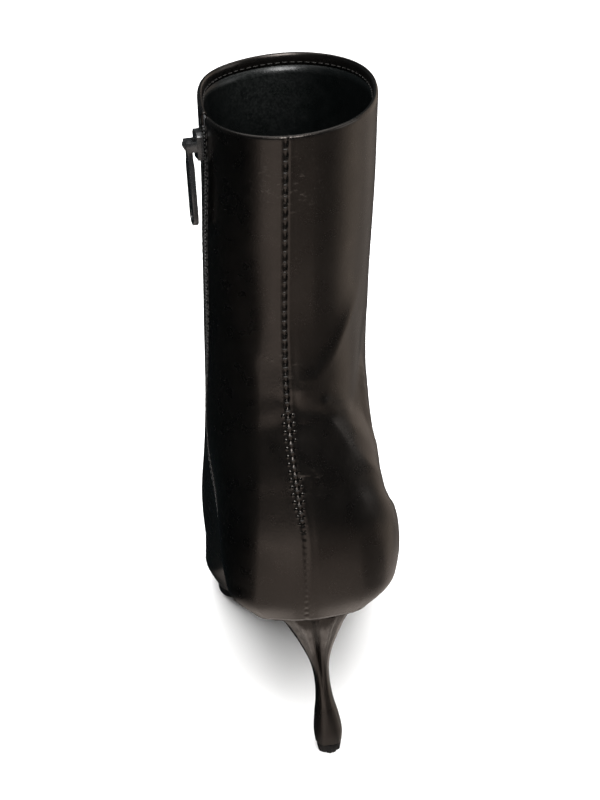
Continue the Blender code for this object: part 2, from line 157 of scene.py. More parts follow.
def halfWidth(level, along, points):
    names, stations = zip(*last["stations"])
    widths = np.stack([at(name, level).ravel() for name in names])
    back, front = (endRound(end, level, points) for end in ("back", "front"))
    tuck = 1 - last["tuck"] * np.clip(1 - level / last["tuckLevel"], 0, 1) ** 2
    return smooth(stations, widths, along) * back * front * tuck


def upperSurface(level, angle):
    # angle 0 is the back seam and pi the toe, with the outer side between them
    level, angle = np.broadcast_arrays(np.asarray(level, float), np.asarray(angle, float))
    along = (1 - np.cos(angle)) / 2
    side = np.where(np.sin(angle) >= 0, 1.0, -1.0)
    points = sideView(level, along)
    centre = smooth(last["centreStation"], last["centreShift"], along) * (1 - level) ** 2
    x = at("sway", level) + centre + last["collarTurn"] * along * level
    outer = last["outerEase"] * ramp(*last["outerEaseFrom"], level)
    inner = last["innerEase"] * ramp(*last["innerEaseFrom"], level) * (1 - ramp(*last["innerEaseTo"], level))
    x = x + side * np.sin(angle) ** 2 * np.where(side > 0, outer, inner)
    x = x + side * halfWidth(level, along, points)
    corner = last["cornerEase"] * ramp(*last["cornerEaseFrom"], level)
    corner = corner * hump(angle % turn, last["cornerAt"], last["cornerWidth"])
    points = points - (corner * np.cos(angle))[..., None] * (1.0, 0.0)
    return np.concatenate([(x + corner * np.sin(angle))[..., None], points], -1)


def slopes(level, angle, small=1e-3):
    low, high = np.maximum(level - small, 0), np.minimum(level + small, 1)
    rising = (upperSurface(high, angle) - upperSurface(low, angle)) / (high - low)[..., None]
    turning = (upperSurface(level, angle + small) - upperSurface(level, angle - small)) / (2 * small)
    return rising, turning


def upperNormal(level, angle):
    rising, turning = slopes(level, angle)
    return unit(np.cross(turning, rising))


def wallAt(level, angle):
    # the surface and the way out of it
    return upperSurface(level, angle), upperNormal(level, angle)


def walk(level, angle, distance):
    # angle reached after some millimetres along the section
    return angle + distance / np.linalg.norm(slopes(level, angle)[1], axis=-1)


def wallGrid(levels, columns):
    # level and angle of a sheet, whose columns keep a distance from their start angle
    angles = [walk(levels, start, distance) for start, distance in columns]
    return np.repeat(levels[:, None], len(columns), 1), np.stack(angles, 1)


def toWorld(points):
    return (np.asarray(points, float) + shift) * mm


def addObject(name, data):
    made = bpy.data.objects.new(name, data)
    bpy.context.collection.objects.link(made)
    return made


def addPiece(name, points, faces, material, sharp=None):
    mesh = bpy.data.meshes.new(name)
    mesh.from_pydata(toWorld(points).tolist(), [], faces)
    shape = bmesh.new()
    shape.from_mesh(mesh)
    bmesh.ops.remove_doubles(shape, verts=shape.verts, dist=1e-7)
    bmesh.ops.recalc_face_normals(shape, faces=shape.faces)
    shape.to_mesh(mesh)
    shape.free()
    mesh.shade_smooth()
    if sharp:
        mesh.set_sharp_from_angle(angle=math.radians(sharp))
    mesh.materials.append(material)
    return addObject(name, mesh)


def applied(piece):
    # the piece with the mesh that its modifiers make
    made = bpy.data.meshes.new_from_object(piece.evaluated_get(bpy.context.evaluated_depsgraph_get()))
    piece.modifiers.clear()
    piece.data = made
    return piece


def sheetFaces(rows, columns, ring=False):
    across = np.arange(columns if ring else columns - 1)
    corner = (np.arange(rows - 1)[:, None] * columns + across).ravel()
    beside = (np.arange(rows - 1)[:, None] * columns + (across + 1) % columns).ravel()
    return np.stack([corner, beside, beside + columns, corner + columns], -1)


def thicken(front, back, faces):
    # a second skin behind the first, with their open edges joined
    points = np.concatenate([front.reshape(-1, 3), back.reshape(-1, 3)])
    behind = len(points) // 2
    edges = np.concatenate([faces[:, [i, (i + 1) % 4]] for i in range(4)])
    forward, reverse = edges[:, 0] * behind + edges[:, 1], edges[:, 1] * behind + edges[:, 0]
    rim = edges[~np.isin(forward, reverse)]
    wall = np.stack([rim[:, 1], rim[:, 0], rim[:, 0] + behind, rim[:, 1] + behind], -1)
    return points, np.concatenate([faces, faces[:, ::-1] + behind, wall]).tolist()


def carry(piece, body, slot, *nodes):
    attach(piece, body)
    if nodes:
        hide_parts(*nodes)
    return piece


def addNode(tree, kind, inputs, **options):
    made = tree.nodes.new(kind)
    for option, value in options.items():
        setattr(made, option, value)
    for socket, value in inputs.items():
        if hasattr(value, "is_output"):
            tree.links.new(value, made.inputs[socket])
        else:
            made.inputs[socket].default_value = value
    return made


# Finishes
class Shading:
    def __init__(self, tree):
        self.tree = tree

    def node(self, kind, inputs, output=0, **options):
        return addNode(self.tree, "ShaderNode" + kind, inputs, **options).outputs[output]

    def mix(self, factor, *colours):
        first, second = (value if hasattr(value, "is_output") else (*value, 1.0) for value in colours)
        return self.node("Mix", {"Factor": factor, 6: first, 7: second}, output=2, data_type="RGBA")

    def reckon(self, operation, *values):
        return self.node("Math", dict(enumerate(values)), operation=operation)


class Finish(Shading):
    def __init__(self, name, settings):
        self.material = bpy.data.materials.new(name)
        self.material.use_nodes = True
        super().__init__(self.material.node_tree)
        self.shader = self.tree.nodes["Principled BSDF"]
        for socket, value in settings.items():
            self.shader.inputs[socket].default_value = value
        self.place = self.node("TexCoord", {}, output="Object")

    def stretched(self, scale, turned=(0.0, 0.0, 0.0)):
        return self.node("Mapping", {"Vector": self.place, "Rotation": turned, "Scale": scale})

    def noise(self, scale, detail=2.0, where=None):
        return self.node("TexNoise", {"Vector": where or self.place, "Scale": scale, "Detail": detail})

    def wave(self, scale, distortion, direction):
        inputs = {"Vector": self.place, "Scale": scale, "Distortion": distortion}
        return self.node("TexWave", inputs, bands_direction=direction)

    def spread(self, value, low=0.0, high=1.0, start=0.3, end=0.7):
        return self.node("MapRange", {"Value": value, "From Min": start, "From Max": end,
                                      "To Min": low, "To Max": high})

    def near(self, place, reach):
        # 1 at a place on the last, 0 where its reach ends
        ends = {0: self.place, 1: toWorld(place)}
        away = self.node("VectorMath", ends, output="Value", operation="DISTANCE")
        return self.spread(away, 1.0, 0.0, 0.0, reach * mm)

    def bump(self, height, strength, depth, under=None):
        inputs = {"Height": height, "Strength": strength, "Distance": depth * mm}
        if under:
            inputs["Normal"] = under
        return self.node("Bump", inputs)

    def link(self, output, socket):
        self.tree.links.new(output, self.shader.inputs[socket])

    def tone(self, value, dark, light):
        self.link(self.mix(value, dark, light), "Base Color")

    def rough(self, value, low, high):
        self.link(self.spread(value, low, high), "Roughness")

    def relief(self, *bump):
        self.link(self.bump(*bump), "Normal")


leatherLook = {
    "settings": {"Specular IOR Level": 0.5, "Specular Tint": (1.0, 0.88, 0.80, 1.0),
                 "Coat Weight": 0.06, "Coat Roughness": 0.16},
    "dark": (0.0006, 0.0006, 0.0006), "light": (0.0014, 0.0012, 0.0011), "rubbed": (0.026, 0.021, 0.018),
    # place and reach of each
    "scuffs": (((-1.2, 9.0, 229.0), 15.0), ((-7.5, 12.0, 162.0), 9.0), ((-1.0, 3.0, 120.0), 8.0)),
}


def makeLeather():
    look = Finish("smoothLeather", leatherLook["settings"])
    rubbed = 0.0
    for place, reach in leatherLook["scuffs"]:
        rubbed = look.reckon("ADD", rubbed, look.near(place, reach))
    scratch = look.noise(900.0, 3.0, look.stretched((0.25, 1.0, 1.0), (0.0, 0.6, 0.0)))
    fleck = look.reckon("MULTIPLY", look.spread(scratch, start=0.58, end=0.72), rubbed)
    plain = look.mix(look.spread(look.noise(22.0, 3.0)), leatherLook["dark"], leatherLook["light"])
    look.tone(fleck, plain, leatherLook["rubbed"])
    wear = look.spread(look.noise(140.0, 4.0), 0.25, 0.34)
    look.link(look.reckon("MULTIPLY_ADD", fleck, 0.18, wear), "Roughness")
    sway = look.node("VectorMath", {0: look.noise(700.0), "Scale": 0.0004}, operation="SCALE")
    bent = look.node("VectorMath", {0: look.place, 1: sway}, operation="ADD")
    pore = look.node("TexVoronoi", {"Vector": bent, "Scale": 1250.0}, feature="SMOOTH_F1")
    grain = look.bump(pore, 0.10, 0.25)
    fine = look.bump(look.noise(3200.0, 3.0), 0.07, 0.12, grain)
    worn = look.bump(fleck, 0.25, 0.2, fine)
    look.relief(look.noise(95.0), 0.10, 1.2, worn)
    return look.material


def makePolished():
    # leather rubbed bright where the seam swells
    look = Finish("polishedPuckers", {"Specular IOR Level": 0.6, "Specular Tint": (1.0, 0.92, 0.86, 1.0)})
    look.tone(look.spread(look.noise(600.0)), leatherLook["dark"], leatherLook["light"])
    look.rough(look.noise(900.0), 0.14, 0.20)
    return look.material


liningLook = {
    "dark": (0.0011, 0.0015, 0.0015), "light": (0.011, 0.012, 0.0115),
    "paintedSheen": (-8.0, 99.0, 240.0), "reach": 26.0,  # place inside the front where light specks paint a sheen, partly dust, and its reach, in mm
}


def makeLining():
    look = Finish("glossyLining", {"Specular IOR Level": 0.35, "Coat Weight": 0.10, "Coat Roughness": 0.16})
    # painted sheen: lighter specks near this one place stand in for the shine of the lamps on the lining,
    # with some dust among them
    near = look.near(liningLook["paintedSheen"], liningLook["reach"])
    speck = look.spread(look.noise(1100.0, 3.0), 0.25, 1.0, 0.42, 0.66)
    look.tone(look.reckon("MULTIPLY", near, speck), liningLook["dark"], liningLook["light"])
    look.rough(look.noise(260.0, 3.0), 0.26, 0.42)
    look.relief(look.noise(1500.0, 3.0), 0.32, 0.25, look.bump(look.noise(60.0), 0.25, 1.5))
    return look.material


def makePatent():
    look = Finish("patentWrap", {"Specular IOR Level": 0.38, "Specular Tint": (1.0, 0.88, 0.80, 1.0),
                                 "Coat Weight": 0.15, "Coat Roughness": 0.14})
    streak = look.noise(420.0, 3.0, look.stretched((1.0, 1.0, 0.06)))
    look.tone(look.spread(streak), (0.0018, 0.0015, 0.0013), (0.0050, 0.0040, 0.0034))
    low = look.spread(look.node("SeparateXYZ", {0: look.place}, output="Z"), 0.30, 0.0, 0.004, 0.022)
    even = look.spread(look.noise(180.0, 3.0), 0.14, 0.26)
    look.link(look.reckon("ADD", even, low), "Roughness")
    broad = look.bump(look.noise(150.0, 2.0, look.stretched((1.0, 1.0, 0.10))), 0.35, 1.4)
    look.relief(streak, 0.60, 0.6, broad)
    return look.material


def makeRubber():
    look = Finish("tipRubber", {"Specular IOR Level": 0.3})
    look.tone(look.spread(look.noise(500.0, 4.0)), (0.0012, 0.0011, 0.0010), (0.0042, 0.0038, 0.0034))
    look.rough(look.noise(300.0, 3.0), 0.6, 0.85)
    look.relief(look.noise(1600.0, 4.0), 0.5, 0.25)
    return look.material


def makeTape():
    look = Finish("zipTape", {"Specular IOR Level": 0.25, "Sheen Weight": 0.15, "Sheen Roughness": 0.5})
    weave = look.wave(620.0, 1.0, "Z")
    look.tone(look.spread(weave), (0.004, 0.004, 0.0042), (0.011, 0.011, 0.0115))
    look.rough(look.noise(900.0), 0.55, 0.75)
    look.relief(weave, 0.5, 0.2)
    return look.material


def makeThread():
    look = Finish("blackThread", {"Specular IOR Level": 0.35, "Sheen Weight": 0.1, "Sheen Roughness": 0.4})
    twist = look.wave(1500.0, 0.6, "DIAGONAL")
    look.tone(look.spread(twist), (0.008, 0.0072, 0.0068), (0.022, 0.020, 0.018))
    look.rough(look.noise(800.0), 0.38, 0.55)
    look.relief(twist, 0.4, 0.12)
    return look.material


def makeEnamel():
    look = Finish("blackEnamel", {"Specular IOR Level": 0.5, "Metallic": 0.25, "Coat Weight": 0.5,
                                  "Coat Roughness": 0.1})
    look.tone(look.spread(look.noise(120.0)), (0.008, 0.008, 0.0085), (0.016, 0.016, 0.0165))
    look.rough(look.noise(420.0, 3.0), 0.18, 0.34)
    look.relief(look.noise(700.0), 0.08, 0.2)
    return look.material


def makeTeeth():
    look = Finish("zipTeeth", {"Specular IOR Level": 0.6, "Coat Weight": 0.3, "Coat Roughness": 0.15})
    look.tone(look.spread(look.noise(600.0)), (0.015, 0.015, 0.0145), (0.038, 0.037, 0.036))
    look.rough(look.noise(900.0), 0.22, 0.36)
    return look.material


leather, polished, lining, patent = makeLeather(), makePolished(), makeLining(), makePatent()
rubber, tape, thread, enamel, teethFinish = makeRubber(), makeTape(), makeThread(), makeEnamel(), makeTeeth()
print("finishes made")

# Back seam: sewn from the collar to the sole, with shorter stitches lower down
seam = {
    "pitchLevel": (0.0, 0.34, 0.55, 0.80, 1.0), "pitch": (2.7, 2.8, 3.4, 4.0, 4.3), "samples": 801,
    "middle": -0.9, "stitchLow": 0.215, "stitchHigh": 0.992,
    "fadeLevel": (0.0, 0.19, 0.26, 1.0), "fade": (0.25, 0.35, 1.0, 1.0),
    "ditch": 0.12, "ditchWidth": 0.72, "hole": 0.58, "holeEdge": (0.30, 0.80),
    "ridges": ((0.24, 1.75, 0.85), (0.10, -1.6, 0.75)),  # height, middle and width, outer side first
    "puckerHeight": 0.05, "puckerMiddle": 1.5, "puckerWidth": 0.55,
    "distances": (0.0, 0.28, 0.5, 0.72, 0.95, 1.2, 1.5, 1.85, 2.3, 2.9, 3.8, 5.2),
}


def seamCount(level):
    # stitches counted from the sole up to a level
    fine = np.linspace(0, 1, seam["samples"])
    line = upperSurface(fine, 0.0)
    steps = np.linalg.norm(np.diff(line, axis=0), axis=1)
    pitch = np.interp((fine[1:] + fine[:-1]) / 2, seam["pitchLevel"], seam["pitch"])
    return np.interp(level, fine, np.concatenate([[0], np.cumsum(steps / pitch)]))


def seamRelief(level, distance):
    beat = 0.5 + 0.5 * np.cos(turn * seamCount(level))
    depth = seam["ditch"] + seam["hole"] * ramp(*seam["holeEdge"], beat)
    relief = -depth * np.exp(-np.abs(distance / seam["ditchWidth"]) ** 3)
    for height, middle, width in seam["ridges"]:
        relief = relief + height * hump(distance, middle, width)
    dots = seam["puckerHeight"] * beat ** 2
    relief = relief + dots * hump(np.abs(distance), seam["puckerMiddle"], seam["puckerWidth"])
    return relief * np.interp(level, seam["fadeLevel"], seam["fade"])


# Creases of the worn leather: the path by level and degrees from the seam, and in mm the crest, its run-out
# above and below, its roundness and its reach. Some have a trough above the crest: depth, distance and width
creases = {
    "mainFold": {
        "path": ((0.72, 60), (0.63, 40), (0.56, 26), (0.50, 13), (0.45, 5)), "fadeFrom": 0.82,
        "sizes": (2.05, 5.4, 9.0, 0.35, 42.0)},
    "foldHollow": {
        "path": ((0.70, 88), (0.58, 63), (0.48, 46), (0.40, 30)),
        "sizes": (-2.2, 9.5, 16.0, 3.0, 72.0)},
    "secondFold": {
        "path": ((0.475, 22), (0.445, 12), (0.42, 5)), "trough": (0.15, 3.0, 2.2),
        "sizes": (0.75, 1.9, 4.5, 0.4, 21.0)},
    "counterEdge": {
        "path": ((0.45, 9), (0.40, 22), (0.33, 32), (0.27, 48)),
        "sizes": (1.1, 5.0, 8.0, 1.0, 40.0)},
    "ankleEdge": {
        "path": ((0.59, 66), (0.50, 55), (0.40, 51), (0.305, 45)),
        "sizes": (1.1, 1.5, 9.0, 0.25, 42.0)},
    "cupShoulder": {
        "path": ((0.37, 64), (0.29, 50), (0.225, 42)),
        "sizes": (-1.3, 6.0, 6.0, 2.5, 30.0)},
    "innerWave": {
        "path": ((0.86, -45), (0.72, -41), (0.64, -36), (0.555, -30)), "trough": (0.25, 7.0, 4.4),
        "sizes": (0.55, 4.0, 4.5, 2.5, 25.0)},
    "innerHollow": {
        "path": ((0.60, -26), (0.545, -20), (0.47, -13), (0.415, -6)), "trough": (0.20, 9.0, 5.0),
        "sizes": (0.55, 7.0, 11.0, 3.0, 53.0)},
    "instepFold": {
        "path": ((0.53, 108), (0.49, 136), (0.475, 165), (0.475, 190), (0.49, 220), (0.53, 248)),
        "sizes": (-0.32, 5.0, 5.0, 3.0, 29.0), "trough": (-0.14, 9.0, 6.0)},
    "toeBend": {
        "path": ((0.08, 98), (0.16, 124), (0.21, 155), (0.22, 182), (0.19, 212), (0.13, 240)),
        "sizes": (-0.26, 5.0, 5.0, 3.0, 29.0), "trough": (-0.12, 9.0, 6.0)},
}
creasing = {"samples": 140, "deep": 14.0, "beyond": 6.0, "fadeTo": 0.30, "fadeFrom": 0.74}
undulation = {
    "from": (0.05, 0.25), "to": (0.9, 1.0),  # levels
    # height in mm, radians in a level, waves in a turn, phase
    "waves": ((0.16, 9.0, 2, 0.4), (0.12, 17.0, 3, 1.9), (0.09, 25.0, -4, 4.1)),
}


def creaseRelief(points, crease):
    path = np.array(crease["path"], float)
    crest, above, below, roundness, reach = crease["sizes"]
    share = np.linspace(0, 1, creasing["samples"])
    knots = np.linspace(0, 1, len(path))
    level, angle = smooth(knots, path[:, 0], share), np.radians(smooth(knots, path[:, 1], share))
    spine, out = wallAt(level, angle)
    along = unit(np.gradient(spine, axis=0))
    up = unit(np.cross(along, out))
    up = up * np.sign(up[:, 2:3] + 1e-9)
    low, high = spine.min(0) - reach, spine.max(0) + reach
    close = np.flatnonzero(np.all((points > low) & (points < high), axis=1))
    near = ((points[close, None] - spine[None]) ** 2).sum(-1).argmin(1)
    delta = points[close] - spine[near]
    beside, deep, beyond = ((delta * way[near]).sum(-1) for way in (up, out, along))
    fadeFrom = crease.get("fadeFrom", creasing["fadeFrom"])
    taper = ramp(0, creasing["fadeTo"], share) * (1 - ramp(fadeFrom, 1, share))
    weight = taper[near] * hump(deep, 0, creasing["deep"]) * hump(beyond, 0, creasing["beyond"])
    slant = np.sqrt(beside ** 2 + roundness ** 2) - roundness
    shape = crest * np.exp(-slant / np.where(beside > 0, above, below))
    if "trough" in crease:
        depth, middle, width = crease["trough"]
        shape = shape - depth * hump(beside, middle, width)
    relief = np.zeros(len(points))
    relief[close] = weight * shape
    return relief


def wallRelief(level, angle, points):
    relief = np.zeros(level.size)
    for crease in creases.values():
        relief += creaseRelief(points.reshape(-1, 3), crease)
    relief = relief.reshape(level.shape)
    soft = ramp(*undulation["from"], level) * (1 - ramp(*undulation["to"], level))
    for size, perLevel, perTurn, phase in undulation["waves"]:
        relief = relief + size * soft * np.sin(perLevel * level + perTurn * angle + phase)
    return relief


# Upper: leather folded over the collar and turned in at the zip, over its own lining
zipLine = {"angle": math.radians(293.0), "firstLevel": 4 / 24, "lastLevel": 0.985, "opens": (-0.012, 0.004)}
upper = {
    "rowStepHigh": 0.86, "rowStepLow": 0.62, "rowChange": 0.60, "samples": 2001,  # rows up the wall
    "leather": 0.8, "wall": 2.0, "rimRadius": 1.0, "rimRows": 9, "foldThick": 0.5, "underlap": 0.2,
    "facing": (0.0026, 0.0052, 0.0078, 0.0088),  # levels of the leather turned over inside the collar
    "facingEdge": 0.25,  # how far its last row sinks into the wall
    "slitEdge": ((2.30, -0.45), (2.38, -0.22), (2.60, -0.06), (2.95, 0.05), (3.35, 0.08), (3.80, -0.03),
                 (4.15, -0.15), (4.50, -0.03), (5.0, 0.03), (6.0, 0.0)),  # distance and depth
    "slitCalm": 0.7,  # share of the relief that the edge of the slit takes away
    "seamClear": 0.26, "slitClear": 0.17,
    "backColumns": 26, "sideColumns": 44, "frontColumns": 22, "innerColumns": 30, "sideEnd": 2.0,
}


def upperColumns():
    # start angle and distance of every column, once round from the back edge of the zip
    start, end, clear = zipLine["angle"], zipLine["angle"] + turn, upper["seamClear"]
    away = [distance for distance, depth in upper["slitEdge"]]
    back = np.linspace(start + upper["slitClear"], turn - clear, upper["backColumns"])
    outer = np.linspace(turn + clear, turn + upper["sideEnd"], upper["sideColumns"])
    front = np.linspace(turn + upper["sideEnd"], turn + math.pi, upper["frontColumns"])[1:]
    inner = np.linspace(turn + math.pi, end - upper["slitClear"], upper["innerColumns"])[1:]
    columns = [(start, distance) for distance in away]
    columns += [(angle, 0.0) for angle in back]
    columns += [(turn, seam["middle"] - distance) for distance in reversed(seam["distances"][1:])]
    columns += [(turn, seam["middle"] + distance) for distance in seam["distances"]]
    columns += [(angle, 0.0) for angle in [*outer, *front, *inner]]
    columns += [(end, -distance) for distance in reversed(away)]
    return columns


def upperLevels():
    fine = np.linspace(0, 1, upper["samples"])
    height = runLength(upperSurface(fine, 0.0))
    change = np.interp(upper["rowChange"], fine, height)
    top = height[-1] - upper["rimRadius"]
    low = np.linspace(0, change, round(change / upper["rowStepLow"]), endpoint=False)
    high = np.linspace(change, top, round((top - change) / upper["rowStepHigh"]) + 1)
    return np.interp(np.concatenate([low, high]), height, fine)


def collarRows(level, angle, surface, out, relief):
    # from the top row of the wall over the collar and down inside it, with the skin behind
    rising = slopes(level, angle)[0]
    left = ((1 - level) * np.linalg.norm(rising, axis=-1))[:, None]  # from the top row to the collar
    up, radius = unit(rising), upper["rimRadius"]
    middle = surface - radius * out
    front, back = [], []
    for roll in np.linspace(0, math.pi, upper["rimRows"])[1:]:
        swing = math.cos(roll) * out + math.sin(roll) * left / radius * up
        notch = (relief * (0.5 + 0.5 * math.cos(roll)))[:, None]
        front.append(middle + (radius + notch) * swing)
        back.append(middle + (radius - upper["foldThick"]) * swing)
    for down in upper["facing"]:
        inside, inward = wallAt(level - down, angle)
        sunk = upper["facingEdge"] if down == upper["facing"][-1] else 0.0
        front.append(inside - (upper["wall"] - sunk) * inward)
        back.append(inside - (upper["wall"] - upper["foldThick"]) * inward)
    return np.stack(front), np.stack(back)


def makeUpper():
    columns, levels = upperColumns(), upperLevels()
    level, angle = wallGrid(levels, columns)
    surface, out = wallAt(level, angle)
    fold = wallRelief(level, angle, surface)
    relief = fold.copy()
    nearSeam = [column for column, (start, distance) in enumerate(columns) if start == turn]
    fromSeam = np.array([columns[column][1] - seam["middle"] for column in nearSeam])
    relief[:, nearSeam] += seamRelief(level[:, nearSeam], fromSeam)
    edge = dict(upper["slitEdge"])
    folded = np.array([edge[abs(distance)] if start != turn and distance else 0.0
                       for start, distance in columns])
    opened = ramp(*(zipLine["firstLevel"] + step for step in zipLine["opens"]), level)
    relief = relief * (1 - upper["slitCalm"] * (folded != 0)) + folded * opened
    front = surface + relief[..., None] * out
    back = surface + (np.minimum(fold, 0) - upper["leather"])[..., None] * out
    front[0, :, 2] -= upper["underlap"]
    overFront, overBack = collarRows(level[-1], angle[-1], surface[-1], out[-1], relief[-1])
    front, back = np.concatenate([front, overFront]), np.concatenate([back, overBack])
    rows, count = front.shape[:2]
    first = int(np.argmax(levels >= zipLine["firstLevel"]))
    low = np.arange(first) * count
    closing = np.stack([low + count - 1, low, low + count, low + 2 * count - 1], -1)
    faces = np.concatenate([sheetFaces(rows, count), closing])
    return addPiece("upper_leather", *thicken(front, back, faces), leather)


liner = {"rows": 96, "columns": 120, "bottom": 0.004, "top": 0.9850, "outer": 1.2, "inner": 2.0,
         "seamHeight": 0.25, "seamWidth": 0.05}


def makeUpperLining():
    levels = np.linspace(liner["bottom"], liner["top"], liner["rows"])
    angles = np.linspace(0, turn, liner["columns"], endpoint=False)
    level, angle = np.meshgrid(levels, angles, indexing="ij")
    surface, out = wallAt(level, angle)
    ease = np.minimum(wallRelief(level, angle, surface), 0)
    seams = hump(np.minimum(angle, turn - angle), 0, liner["seamWidth"])
    seams = seams + hump(angle, math.pi, liner["seamWidth"])
    inner = surface + (ease - liner["inner"] - liner["seamHeight"] * seams)[..., None] * out
    outer = surface + (ease - liner["outer"])[..., None] * out
    faces = sheetFaces(liner["rows"], liner["columns"], ring=True)
    return addPiece("upper_lining", *thicken(inner, outer, faces), lining)


carry(makeUpper(), "boot", "leather", "upper")
carry(makeUpperLining(), "boot", "lining", "upper")
print("upper and lining made")

# Sole and insole: plates that follow the bottom of the last
sole = {"stations": 120, "strips": 16, "lip": -0.5, "seatInset": 2.0, "seatEnd": (44.0, 78.0),
        "bevel": 0.35, "bevelSteps": 3}
sock = {"thick": 1.6, "clear": 0.7, "toeStart": 200.0, "toeShare": 0.88, "crown": 0.5,
        "bevel": 0.4, "wall": 2.0}
soleAngles = np.linspace(0, turn, 2 * sole["stations"], endpoint=False)
edges = {"from": 40.0, "sharp": 50.0}  # degrees from which an edge is rounded, or shaded as sharp


def grow(loop, distance):
    around = unit(np.roll(loop, -1, axis=0) - np.roll(loop, 1, axis=0))
    return loop + distance * np.stack([around[:, 1], -around[:, 0]], -1)


def lifted(plan, height):
    return np.concatenate([plan, height[..., None]], -1)


def plate(loop, top, bottom):
    half = len(loop) // 2
    outer, inner = loop[:half + 1], np.concatenate([loop[:1], loop[:half - 1:-1]])
    share = np.linspace(0, 1, sole["strips"] + 1)[None, :, None]
    plan = inner[:, None] * (1 - share) + outer[:, None] * share
    high, low = lifted(plan, top(plan[..., 1], share[..., 0])), lifted(plan, bottom(plan[..., 1]))
    return thicken(high, low, sheetFaces(*plan.shape[:2]))


def softenEdges(piece, width, steps=2):
    edge = piece.modifiers.new("edge", "BEVEL")
    edge.width, edge.segments, edge.limit_method = width * mm, steps, "ANGLE"
    edge.angle_limit = math.radians(edges["from"])
    mesh = applied(piece).data
    mesh.shade_smooth()
    mesh.set_sharp_from_angle(angle=math.radians(edges["sharp"]))
    return piece


def makeOutsole():
    feather = upperSurface(0.0, soleAngles)[:, :2]
    inset = sole["seatInset"] * np.interp(feather[:, 1:], sole["seatEnd"], (1.0, 0.0))
    body = plate(grow(feather, sole["lip"] - inset), lambda y, share: soleTop(y), soleBottom)
    return softenEdges(addPiece("outsole_dressed", *body, patent), sole["bevel"], sole["bevelSteps"])


def makeInsole():
    feather, out = wallAt(0.0, soleAngles)
    rim = (feather - sock["wall"] * unit(out * (1.0, 1.0, 0.0)))[:, :2]
    loop = grow(rim, -sock["clear"])
    loop[:, 1] -= (1 - sock["toeShare"]) * np.maximum(0, loop[:, 1] - sock["toeStart"])
    top = lambda y, share: featherHeight(y) + sock["thick"] + sock["crown"] * (1 - (2 * share - 1) ** 2)
    return softenEdges(addPiece("insole_dressed", *plate(loop, top, featherHeight), lining), sock["bevel"])


carry(makeOutsole(), "boot", "patent", "outsole")
carry(makeInsole(), "boot", "lining", "insole")
print("sole and insole made")

# Heel: a wrapped stiletto with a slit at the back of its wrap, on a worn tip
heel = {
    "columns": ("share", "back", "front", "half", "shift"),
    "rows": (
        (0.00, 12.6, 23.8, 5.0, 2.2), (0.07, 12.2, 24.4, 5.4, 2.2), (0.17, 12.5, 24.8, 4.8, 2.0),
        (0.31, 13.6, 24.4, 3.4, 1.6), (0.45, 14.2, 24.6, 2.9, 1.2), (0.59, 13.6, 26.0, 3.6, 0.7),
        (0.73, 11.6, 30.0, 6.2, 0.2), (0.85, 9.0, 36.5, 9.6, 0.0), (0.93, 7.2, 43.0, 12.4, -0.2),
        (0.97, 6.6, 48.0, 14.6, -0.3), (1.00, 6.4, 52.0, 16.4, -0.4)),
    "sides": 96, "rings": 120, "ringPower": 1.15, "power": 2.3, "tipHeight": 4.0,
    "seatGap": 0.3 * last["gap"], "seatRings": (0.8, 0.55, 0.3, 0.1),  # the top closes in these shares
    "slitDepth": 2.1, "slitWidth": 0.085, "slitLow": 0.40, "slitHigh": 0.80,
    "pleats": 15, "pleatHeight": 0.34, "pleatPhase": 0.6, "pleatLow": 0.52, "pleatReach": 1.1,
    "fine": 37, "fineHeight": 0.10, "fineTwist": 9,
    "ragged": ((5, 0.7, 0.45), (11, 2.0, 0.32), (23, 0.0, 0.23)),  # waves, phase and share of an uneven edge
    "burr": 0.42, "wrapEdge": 0.35, "wrapFade": 12, "sharp": 55,
    "tipSharp": 50, "tipRings": ((0.0, 1.7, 1.4), (0.3, 1.3, 1.7), (0.9, 1.0, 1.4), (2.2, 0.65, 0.9),
                                 (3.4, 0.3, 0.4), (3.95, 0.4, 0.2)),  # height, inset and raggedness
}
heelTable = dict(zip(heel["columns"], np.array(heel["rows"]).T))


def heelRing(share):
    shift, half, back, front = (smooth(heelTable["share"], heelTable[name], share)
                                for name in ("shift", "half", "back", "front"))
    around = np.linspace(0, turn, heel["sides"], endpoint=False)
    across, along = np.sin(around), -np.cos(around)
    bulge = 2 / heel["power"]
    x = shift + half * np.sign(across) * np.abs(across) ** bulge
    middle, reach = (front + back) / 2, (front - back) / 2
    return np.stack([x, middle + reach * np.sign(along) * np.abs(along) ** bulge], -1), around


def heelRelief(share, around):
    fromBack = np.minimum(around, turn - around)
    slit = ramp(heel["slitLow"], heel["slitHigh"], share) * heel["slitDepth"]
    relief = -slit * hump(fromBack, 0, heel["slitWidth"])
    gather = ramp(heel["pleatLow"], 1.0, share) * hump(fromBack, 0, heel["pleatReach"])
    relief = relief + heel["pleatHeight"] * gather * np.cos(heel["pleats"] * fromBack + heel["pleatPhase"])
    return relief + heel["fineHeight"] * gather * np.cos(heel["fine"] * fromBack + heel["fineTwist"] * share)


def heelRagged(around):
    return sum(np.sin(waves * around + phase) * size for waves, phase, size in heel["ragged"])


def closedLoft(rings):
    rows, columns = len(rings), len(rings[0])
    faces = sheetFaces(rows, columns, ring=True).tolist()
    faces += [list(range(columns)), list(range((rows - 1) * columns, rows * columns))]
    return np.concatenate(rings), faces


